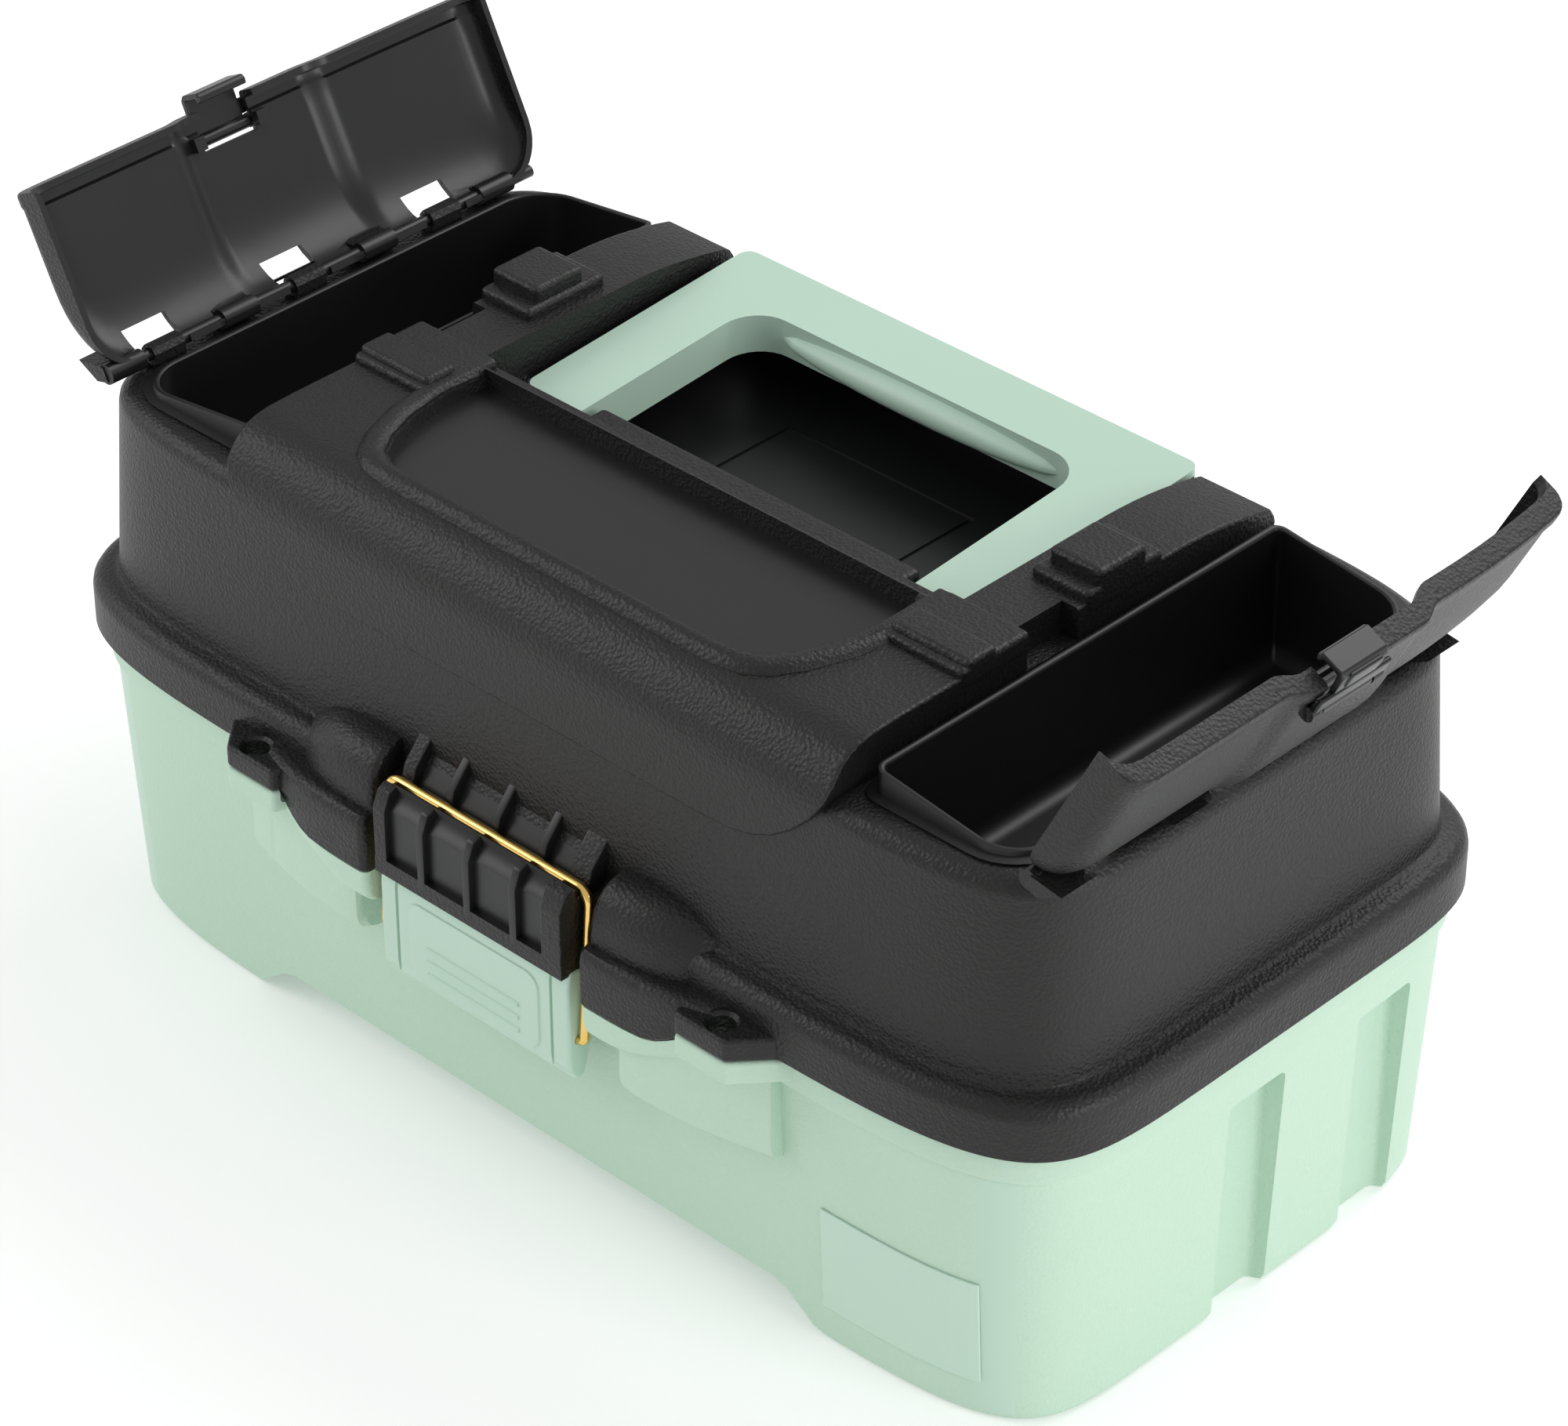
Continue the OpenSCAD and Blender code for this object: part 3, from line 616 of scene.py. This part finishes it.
def lid():
    top = body_x - 2.9, body_y - 2.9
    skirt = [squircle(skirt_x - 0.8, skirt_y - 0.8, skirt_low, 7),
             squircle(skirt_x, skirt_y, skirt_low + 0.9, 7),
             squircle(skirt_x, skirt_y, skirt_top - 6, 7)]
    for a in (20, 40, 60, 80):
        s, c = math.sin(math.radians(a)), math.cos(math.radians(a))
        skirt.append(squircle(skirt_x - 5 * (1 - c), skirt_y - 5 * (1 - c), skirt_top - 6 + 5.6 * s, 7))
    skirt += [squircle(body_x + 2, body_y + 2, skirt_top - 0.2, 7.6),
              squircle(body_x + 0.5, body_y + 0.5, skirt_top + 0.6, 8),
              squircle(body_x, body_y, skirt_top + 2.4, 8), squircle(top[0], top[1], ledge - 6, 8)]
    for a in (20, 40, 60, 75, 90):
        s, c = math.sin(math.radians(a)), math.cos(math.radians(a))
        skirt.append(squircle(top[0] - 6 * (1 - c), top[1] - 6 * (1 - c), ledge - 6 + 6 * s, 8))
    shell = loft("lid", skirt)
    add = [contour_panel(), bezel()]
    add += horn() + catch()
    add += both(lock_tab(skirt_low, skirt_low + 7.5))
    for y0, y1, x0, height in ((-45.5, -17.5, 88, 2.6), (-43, -31, 92, 4.4), (6, 38, 100, 3.5),
                               (11, 31, 102, 8.2)):
        add += both(soft_block("boss", (x0, deck_x + 0.6), (y0, y1), (deck_z - 4, deck_z + height), 1.8, 3))
    for x in (-120, 0, 120):
        leaf = [(HINGE.y + 5 * math.cos(math.radians(t)), HINGE.z + 5 * math.sin(math.radians(t)))
                for t in range(-135, 91, 15)]
        add.append(prism("leaf", [(skirt_y - 3, HINGE.z + 5)] + leaf[::-1] + [(skirt_y - 3, HINGE.z + 1)],
                         "x", x - 6, x + 6))
    for y in slot_places:
        seat = [(ROD.x - 3.2, ledge - 2), (ROD.x + 3.2, ledge - 2), (ROD.x + 3.2, ROD.z + 1),
                (ROD.x + 1.8, ROD.z + 2.8),
                (ROD.x - 1.8, ROD.z + 2.8), (ROD.x - 3.2, ROD.z + 1)]
        add += both(prism("seat", seat, "y", y - 6, y + 6))
    inside = [loft("inner", [squircle(skirt_x - wall, skirt_y - wall, skirt_low - 5, 7),
                             squircle(skirt_x - wall, skirt_y - wall, skirt_top - 3.4, 7),
                             squircle(body_x - wall, body_y - wall, skirt_top - 3, 8),
                             squircle(body_x - wall - 2.6, body_y - wall - 2.6, bin_floor - 4, 8)])]
    inside.append(block("under_deck", (-deck_x + wall, deck_x - wall), (-86, 86),
                        (bin_floor - 5, well_floor - wall)))
    cut = inside
    cut.append(prism("recess", recess_outline(1.4), "z", deck_z - 4, deck_z + 30))
    cut.append(prism("well", round_rect(-well_x, well_x, -19, 92.5, 4), "z", well_floor, deck_z + 30))
    cut += both(prism("bin_hole", bin_outline(0.3), "z", bin_floor - 8, ledge + 30))
    cut += both(rod("lock_hole", "z", (tab_x, tab_y), lock_r, 60, 140))
    mouth = ((skirt_low + 6.6, lock_r - 0.1), (skirt_low + 7.7, lock_r + 1.1), (skirt_low + 12, lock_r + 1.1))
    cut += both(loft("lock_mouth", [[(tab_x + r * math.cos(math.pi * k / 16),
                                      tab_y + r * math.sin(math.pi * k / 16), z)
                                     for k in range(32)] for z, r in mouth]))
    cut += both(block("strike", (deck_x - 6, deck_x + 1), (clip_y - 10.5, clip_y + 10.5),
                      (ROD.z + 2, deck_z + 30)))
    carve(shell, add=add, cut=cut)
    # rail across the front of the well, with its step
    rail = [soft_block("rail", (-64, 64), (-12.5, 1.5), (well_floor - 1, 189), 2.2, 3),
            block("step", (-well_x - 1, well_x + 1), (-20, -12), (well_floor - 1, 183))]
    carve(shell, add=rail)
    groove = [prism("groove_out", round_rect(-46, 30, 28, 62, 1), "z", well_floor - 0.7, well_floor + 5)]
    island = prism("groove_in", round_rect(-44.6, 28.6, 29.4, 60.6, 1), "z", well_floor - 3, well_floor + 8)
    carve(groove[0], cut=[island])
    carve(shell, cut=groove)
    piece = shaded(rounded(shell, 0.55, 2, 38))

    def finish_of(c, n):
        in_recess = abs(c.x) < 88.5 and -80 < c.y < -24.5 and c.z < deck_z - 2 and c.z > 190
        in_well = abs(c.x) < well_x + 0.2 and -12 < c.y < 92.6 and well_floor - 2 < c.z < 180
        in_catch = abs(c.x) < lever_x - 5 and c.y < -102 and 100 < c.z < 134
        return 1 if in_recess or in_well or in_catch or (c.z < 160 and n.z < -0.7) else 0
    wear(piece, [black_grain, black_smooth], finish_of)
    piece_done(piece, "lid", "black_shell", "lid_shell")


# ---------------------------------------------------------------- bins
def bin_outline(grow, corner=15.0):
    """Bin plan: nearly square corners at the deck, wide ones at the outer side."""
    x0, x1, y = deck_x + 4 - grow, 177 + grow, 84 + grow
    centres = ((x1, y, 0, corner), (x0, y, 90, 3.5), (x0, -y, 180, 3.5), (x1, -y, 270, corner))
    ring = []
    for cx, cy, start, r in centres:
        r = max(r + grow, 1.0)
        ox, oy = cx - math.copysign(r, cx - 150), cy - math.copysign(r, cy)
        ring += [(ox + r * math.cos(math.radians(start + 90 * k / 8)),
                  oy + r * math.sin(math.radians(start + 90 * k / 8)))
                 for k in range(9)]
    return ring


def bin_liner(side):
    """Deep drawn liner with a thin rim that rises towards the deck."""
    x0, x1 = deck_x + 4, 177

    def rim(grow, lift):
        return [(px, py, lift + ledge + 10 - 6.8 * min(max((px - x0) / (x1 - x0), 0), 1)
                 - 1.4 * max(0, (abs(py) - 60) / 24) ** 2) for px, py in bin_outline(grow)]

    outside = [level(bin_outline(-4), bin_floor), level(bin_outline(-1.2), bin_floor + 1.2),
               level(bin_outline(-0.6), bin_floor + 4), level(bin_outline(0), ledge - 0.3),
               level(bin_outline(3.3), ledge + 0.1), level(bin_outline(3.5), ledge + 0.7),
               level(bin_outline(0.6), ledge + 1.2),
               rim(0.3, -0.8), rim(0.2, -0.2), rim(-0.4, 0), rim(-1, -0.1)]
    inside = [rim(-1.5, -0.5), rim(-1.7, -1.3), level(bin_outline(-2), ledge - 8),
              level(bin_outline(-3.4), bin_floor + 7),
              level(bin_outline(-5.5), bin_floor + 3.2), level(bin_outline(-9), bin_floor + 1.8)]
    liner = loft(side + "_liner", outside + inside)
    if side == "left":
        twin = mirrored(liner)
        bpy.data.objects.remove(liner)
        liner = twin
        liner.name = "left_liner"
    piece = shaded(liner, 40)
    wear(piece, [black_gloss])
    piece_done(piece, "lid", "black_liner", side + "_bin")


# ---------------------------------------------------------------- access lids
def door_skin(lift, inset):
    """A face of a closed access lid: rows along its length, each bowed down to the hinge side."""
    x_free, x_out, y_out, bend, corner = deck_x + 4, ROD.x + 1.6, 91, 156, 17 - inset
    base = ROD.z - 2.8
    fillets = ((0, 4.6), (0.35, 3), (1.1, 1.7), (2.3, 0.75), (3.8, 0.2), (5.6, 0))
    ends = [(y_out, None)] + [(y_out - dy, drop) for dy, drop in fillets]
    ends += [(y, 0) for y in (82, 78, 74, 66, 56, 46, 38, 33, 31.5, 30, 28.5, 27, 25.5, 24, 22.5, 16, 8)]
    rows = ends + [(0, 0)] + [(-y, drop) for y, drop in ends[::-1]]
    lip = ((0, 7.0), (0, 1.2), (0.4, 0.35), (1.3, 0), (4.2, 0), (5.2, 0.8), (12, 0.8), (21, 0.8))
    grid = []
    for y, drop in rows:
        over = max(0.0, abs(y) - (y_out - 17))
        edge = x_out - inset - corner + math.sqrt(max(corner ** 2 - (over * corner / 17) ** 2, 0.0))
        middle = max(0.0, min(1.0, (31.5 - abs(y)) / 9))
        crown = deck_z + lift - inset + 3.2 * middle * middle * (3 - 2 * middle)
        crown -= 0.45 * (deck_z - dome(y, deck_z))
        crown = base if drop is None else crown - drop
        shown_y = math.copysign(abs(y) - inset * min(1, max(0, (abs(y) - 80) / 8)), y)
        row = [(x_free + dx + inset * max(0, 1 - dx / 20), shown_y,
                max(base, crown - (0 if drop is None else fall)))
               for dx, fall in lip]
        row[0] = (row[0][0], shown_y, max(base, crown - (0 if drop is None else 7.0) + inset))
        top = max(base, crown - (0 if drop is None else 0.8))
        for a in (0, 12, 24, 36, 47, 57, 66, 74, 81, 86, 90):
            s, c = math.sin(math.radians(a)), math.cos(math.radians(a))
            row.append((bend + (edge - bend) * s, shown_y, base + (top - base) * c))
        grid.append(row)
    return grid


def door(side):
    outer, inner = door_skin(-0.5, 0), door_skin(-0.5, 2.1)
    rows, n = len(outer), len(outer[0])
    points = [p for row in outer + inner for p in row]
    count = rows * n
    quads = [(k * n + i, k * n + i + 1, (k + 1) * n + i + 1, (k + 1) * n + i)
             for k in range(rows - 1) for i in range(n - 1)]
    faces = quads + [tuple(count + i for i in quad[::-1]) for quad in quads]
    rim = list(range(n)) + [k * n + n - 1 for k in range(1, rows)]
    rim += [(rows - 1) * n + i for i in range(n - 2, -1, -1)] + [k * n for k in range(rows - 2, 0, -1)]
    faces += [(a, b, count + b, count + a) for a, b in zip(rim, rim[1:] + rim[:1])]
    skin = outward(mesh_object(side + "_access_shell", points, faces), merge=0.02)
    add, cut = [], []
    for y in (-82, -37, 20, 70):
        add.append(rod("knuckle", "y", (ROD.x, ROD.z), 3.2, y - 6.5, y + 7, 24))
        arm = [(ROD.x - 2.5, ROD.z), (ROD.x + 2.4, ROD.z), (ROD.x + 1.4, ROD.z + 5),
               (ROD.x - 6, ROD.z + 10.5)]
        add.append(prism("knuckle_arm", arm, "y", y - 7, y + 7))
    for y in slot_places:
        cut.append(rod("slot", "y", (ROD.x, ROD.z), 5.8, y - 8.5, y + 8.5, 24))
        cut.append(block("slot_window", (ROD.x - 9, ROD.x - 3), (y - 8.5, y + 8.5), (180, 215)))
    for s in (-1, 1):
        add.append(rod("eye", "y", (deck_x + 13.5, deck_z + 3.2), 2.4, clip_y + s * 12.6 - 2,
                       clip_y + s * 12.6 + 2, 20))
        add.append(block("eye_foot", (deck_x + 11.3, deck_x + 15.7),
                         (clip_y + s * 12.6 - 2, clip_y + s * 12.6 + 2),
                         (deck_z - 2.6, deck_z + 3.2)))
    cut.append(rod("rod_hole", "y", (ROD.x, ROD.z), 2.08, -86.6, 100, 24))
    cut.append(block("clip_notch", (deck_x, deck_x + 16.6), (clip_y - 10.5, clip_y + 10.5), (180, 230)))
    carve(skin, add=add, cut=cut)
    turned(skin, ROD, "Y", DOOR_OPEN)
    if side == "left":
        twin = mirrored(skin)
        bpy.data.objects.remove(skin)
        skin = twin
        skin.name = "left_access_shell"
    piece = shaded(rounded(skin, 0.4, 2, 40), 40)
    sign = -1 if side == "left" else 1
    inward = Vector((-sign * math.cos(DOOR_OPEN - math.pi / 2), 0, math.sin(DOOR_OPEN - math.pi / 2)))
    wear(piece, [black_grain, black_smooth], lambda c, n: 1 if n.dot(inward) > 0.35 else 0)
    piece_done(piece, side + "_door", "black_shell", side + "_access_lid")


def clip(side):
    """Snap clip: a pressed plate on its own pin, with a hook at its free end and a raised thumb tab."""
    x, z = deck_x + 13.5, deck_z + 3.2
    section = [(x + 1.8, z - 1), (x + 2.2, z + 0.6), (x + 1, z + 1.5), (x - 8, z + 1.6), (x - 13.4, z + 1.4),
               (x - 15, z), (x - 14.9, z - 7.6), (x - 13.6, z - 8.5), (x - 11.6, z - 8.2),
               (x - 11.8, z - 6.9),
               (x - 13.2, z - 6.2), (x - 13.2, z - 0.9), (x - 6, z - 0.3), (x - 1, z - 0.4)]
    plate = rounded(prism(side + "_clip", section, "y", clip_y - 9.5, clip_y + 9.5), 0.5, 2, 40)
    add = [rod("pin", "y", (x, z), 1.2, clip_y - 14.4, clip_y + 14.4, 20),
           rod("barrel", "y", (x, z), 2.2, clip_y - 9.9, clip_y + 9.9, 24),
           soft_block("thumb", (x - 14.2, x - 8.6), (clip_y - 6.5, clip_y + 6.5), (z + 0.6, z + 2.2), 0.7, 2),
           soft_block("wing", (x - 7.4, x - 2.4), (clip_y - 14.6, clip_y + 14.6), (z + 0.3, z + 2.1), 0.7, 2)]
    carve(plate, add=add)
    turned(plate, ROD, "Y", DOOR_OPEN)
    if side == "left":
        twin = mirrored(plate)
        bpy.data.objects.remove(plate)
        plate = twin
        plate.name = "left_clip"
    piece = shaded(plate, 40)
    wear(piece, [black_smooth])
    piece_done(piece, side + "_clip", "black_liner", side + "_snap_clip")


# ---------------------------------------------------------------- handle
def handle():
    """U-shaped handle with a channel below and a swollen grip."""
    half, arm, reach, thick = 91, 24, 90, 6.5
    body = prism("handle", round_rect(-half, half, -5.8, reach, 4), "z", -thick, thick)
    opening = prism("opening", round_rect(-half + arm, half - arm, -40, reach - 22, 13, 8), "z", -20, 20)
    carve(body, cut=[opening])
    swell = []
    for k in range(13):
        t = -1 + k / 6
        size = max(math.sqrt(max(0, 1 - t * t)), 0.06)
        swell.append([(60 * t, reach - 20 + 0.5 * (1 - abs(t)) + 7.5 * size * math.cos(a),
                       -0.6 + 5.6 * size * math.sin(a))
                      for a in (2 * math.pi * i / 20 for i in range(20))])
    add = [loft("swell", swell)]
    add += [rod("boss", "x", (0, 0), thick, x - arm / 2, x + arm / 2, 32)
            for x in (-half + arm / 2, half - arm / 2)]
    cut = []
    for s in (-1, 1):
        x = s * (half - arm / 2)
        cut.append(rounded(block("channel", (x - 9, x + 9), (12, reach - 3), (-20, thick - 3)), 1.5, 2))
        cut.append(rod("bore", "x", (0, 0), 2.6, x - arm, x + arm, 24))
        # front end of each arm, rounded off under the top face
        cut.append(block("nose", (x - arm, x + arm), (-20, -5.75), (-20, 20)))
    cut.append(rounded(block("channel", (-half + 4, half - 4), (reach - 12, reach - 3), (-20, thick - 3)),
                       1.5, 2))
    # the arms' outer cheeks stop short of the grip
    cut += [block("cheek", (s * half - 4, s * half + 4), (44, reach - 3), (-20, thick - 2.4))
            for s in (-1, 1)]
    carve(body, add=add, cut=cut)
    web = [block("web", (s * (half - arm / 2) - 10, s * (half - arm / 2) + 10), (y, y + 2.2), (-5, thick - 1))
           for s in (-1, 1) for y in (42, 66)]
    carve(body, add=web)
    body.data.transform(Matrix.Translation(HANDLE * MM) @ Matrix.Rotation(HANDLE_TILT, 4, "X"))
    piece = shaded(rounded(body, 0.9, 3, 38))
    wear(piece, [mint_smooth])
    piece_done(piece, "handle", "mint_shell", "carry_handle")


# ---------------------------------------------------------------- latch
def lever():
    y, z = LEVER.y, LEVER.z
    low = z - 34
    side = [(y + 2.6, z + 1.4), (y, z + 2.8), (y - 5.5, z + 4.6), (y - 9, z + 4.6), (y - 10, z - 1),
            (y - 10, low + 7),
            (y - 9.4, low + 3), (y - 7.4, low), (y - 4, low), (y + 2.6, z - 11)]
    plate = rounded(prism("lever", side, "x", -lever_x, lever_x), 1.1, 3, 30)
    hollow = block("hollow", (-lever_x + 2.6, lever_x - 2.6), (y - 7.2, y + 20), (low - 2, z - 4))
    panel = prism("panel", round_rect(-27, 27, low + 5, z - 2, 5), "y", y - 10.6, y - 8)
    grooves = [block("groove", (s * 32 - 0.6, s * 32 + 0.6), (y - 20, y - 9.2), (low - 2, z + 8))
               for s in (-1, 1)]
    ridges = ridge_row("ridges", 3, (0, y - 10.4, low + 9), (0, 0, 4.6), (19, 0, 0), 0.85, mint_smooth)
    cut = [hollow, rod("pin_hole", "x", (y, z), 1.56, -60, 60, 24),
           rod("wire_hole", "x", (BAIL.y, BAIL.z), 1.7, -60, 60, 24)]
    carve(plate, add=[rounded(panel, 0.5, 2), ridges], cut=cut + grooves)
    piece = shaded(rounded(plate, 0.3, 2, 40))
    wear(piece, [mint_smooth])
    piece_done(piece, "lever", "mint_shell", "latch_lever")


def bail():
    """Bent brass wire: in at the lever's sides, up both legs and across the catch."""
    high = node_box("latch_bail")[1]
    wire_r = 1.62
    x, top = high.x - 1.5, Vector((0, high.y - 1.5, high.z - 1.5))
    foot = Vector((0, BAIL.y, BAIL.z))
    rise = (top - foot).normalized()
    length = (top - foot).length
    bend = 4.5
    path = [Vector((x - 5, 0, 0)) + foot]
    path += [Vector((x - 2 + 2 * math.sin(math.radians(a)), 0, 0)) + foot + rise
             * (2 - 2 * math.cos(math.radians(a)))
             for a in range(0, 91, 15)]
    path += [Vector((x - bend + bend * math.cos(math.radians(a)), 0, 0)) + foot
             + rise * (length - bend + bend * math.sin(math.radians(a))) for a in range(0, 91, 10)]
    path += [Vector((-p.x, p.y, p.z)) for p in path[::-1]]
    curve = bpy.data.curves.new("wire", "CURVE")
    curve.dimensions = "3D"
    curve.bevel_depth = wire_r * MM
    curve.bevel_resolution = 5
    curve.use_fill_caps = True
    spline = curve.splines.new("POLY")
    spline.points.add(len(path) - 1)
    for point, p in zip(spline.points, path):
        point.co = (*(p * MM), 1)
    source = bpy.data.objects.new("wire_path", curve)
    bpy.context.scene.collection.objects.link(source)
    bpy.context.view_layer.update()
    mesh = bpy.data.meshes.new_from_object(source.evaluated_get(bpy.context.evaluated_depsgraph_get()))
    bpy.data.objects.remove(source)
    piece = bpy.data.objects.new("brass_bail", mesh)
    bpy.context.scene.collection.objects.link(piece)
    piece = shaded(outward(piece, merge=0.01), 50)
    wear(piece, [brass])
    piece_done(piece, "bail", "brass_wire", "latch_bail")


# ---------------------------------------------------------------- pieces kept from the frame
def dress_frame():
    finishes = {"steel_hardware": steel, "tray_plastic": tray_grey, "black_liner": black_smooth,
                "label_film": label_clear}
    for subpart in frame["record"]["subparts"]:
        obj = frame["nodes"][subpart["node"]]
        if obj.hide_render:
            continue
        material = finishes[subpart["material_slot"]]
        obj.data.materials.clear()
        obj.data.materials.append(material)


# ---------------------------------------------------------------- stage
def stage():
    floor = mesh_object("floor", [(-4000, -4000, -0.2), (4000, -4000, -0.2), (4000, 4000, -0.2),
                                  (-4000, 4000, -0.2)],
                        [(0, 1, 2, 3)])
    paper = Finish("pale_floor")
    paper.wire("Base Color", (0.94, 0.94, 0.94, 1))
    paper.wire("Emission Color", (1, 1, 1, 1))
    paper.wire("Emission Strength", 0.19)
    paper.wire("Roughness", 0.9)
    floor.data.materials.append(paper.material)
    world = bpy.data.worlds.new("studio")
    world.use_nodes = True
    world.node_tree.nodes["Background"].inputs[0].default_value = (1, 1, 1, 1)
    world.node_tree.nodes["Background"].inputs[1].default_value = 0.62
    bpy.context.scene.world = world
    target = Vector((0, 0, 0.1))
    lamps = (("key", (-1.5, -1.1, 1.2), 1.1, 11), ("rear", (0.2, 1.3, 1.5), 1.2, 14),
             ("side", (1.8, 0.1, 0.7), 0.9, 12))
    for name, spot, size, power in lamps:
        light = bpy.data.lights.new(name, "AREA")
        light.shape = "SQUARE"
        light.size = size
        light.energy = power
        lamp = bpy.data.objects.new(name, light)
        lamp.location = spot
        lamp.rotation_euler = (target - Vector(spot)).to_track_quat("-Z", "Y").to_euler()
        bpy.context.scene.collection.objects.link(lamp)
    lens = bpy.data.cameras.new("camera")
    lens.lens = 125.2
    lens.sensor_width = 36
    lens.clip_end = 20
    camera = bpy.data.objects.new("camera", lens)
    camera.location = (0.93034, -0.95652, 1.02499)
    camera.rotation_euler = (math.radians(90 - 34.44), 0, math.radians(43.86))
    bpy.context.scene.collection.objects.link(camera)
    bpy.context.scene.camera = camera
    bpy.context.scene.view_settings.view_transform = "Standard"


stage()
tub()
lid()
for side in ("left", "right"):
    bin_liner(side)
    door(side)
    clip(side)
handle()
lever()
bail()
dress_frame()
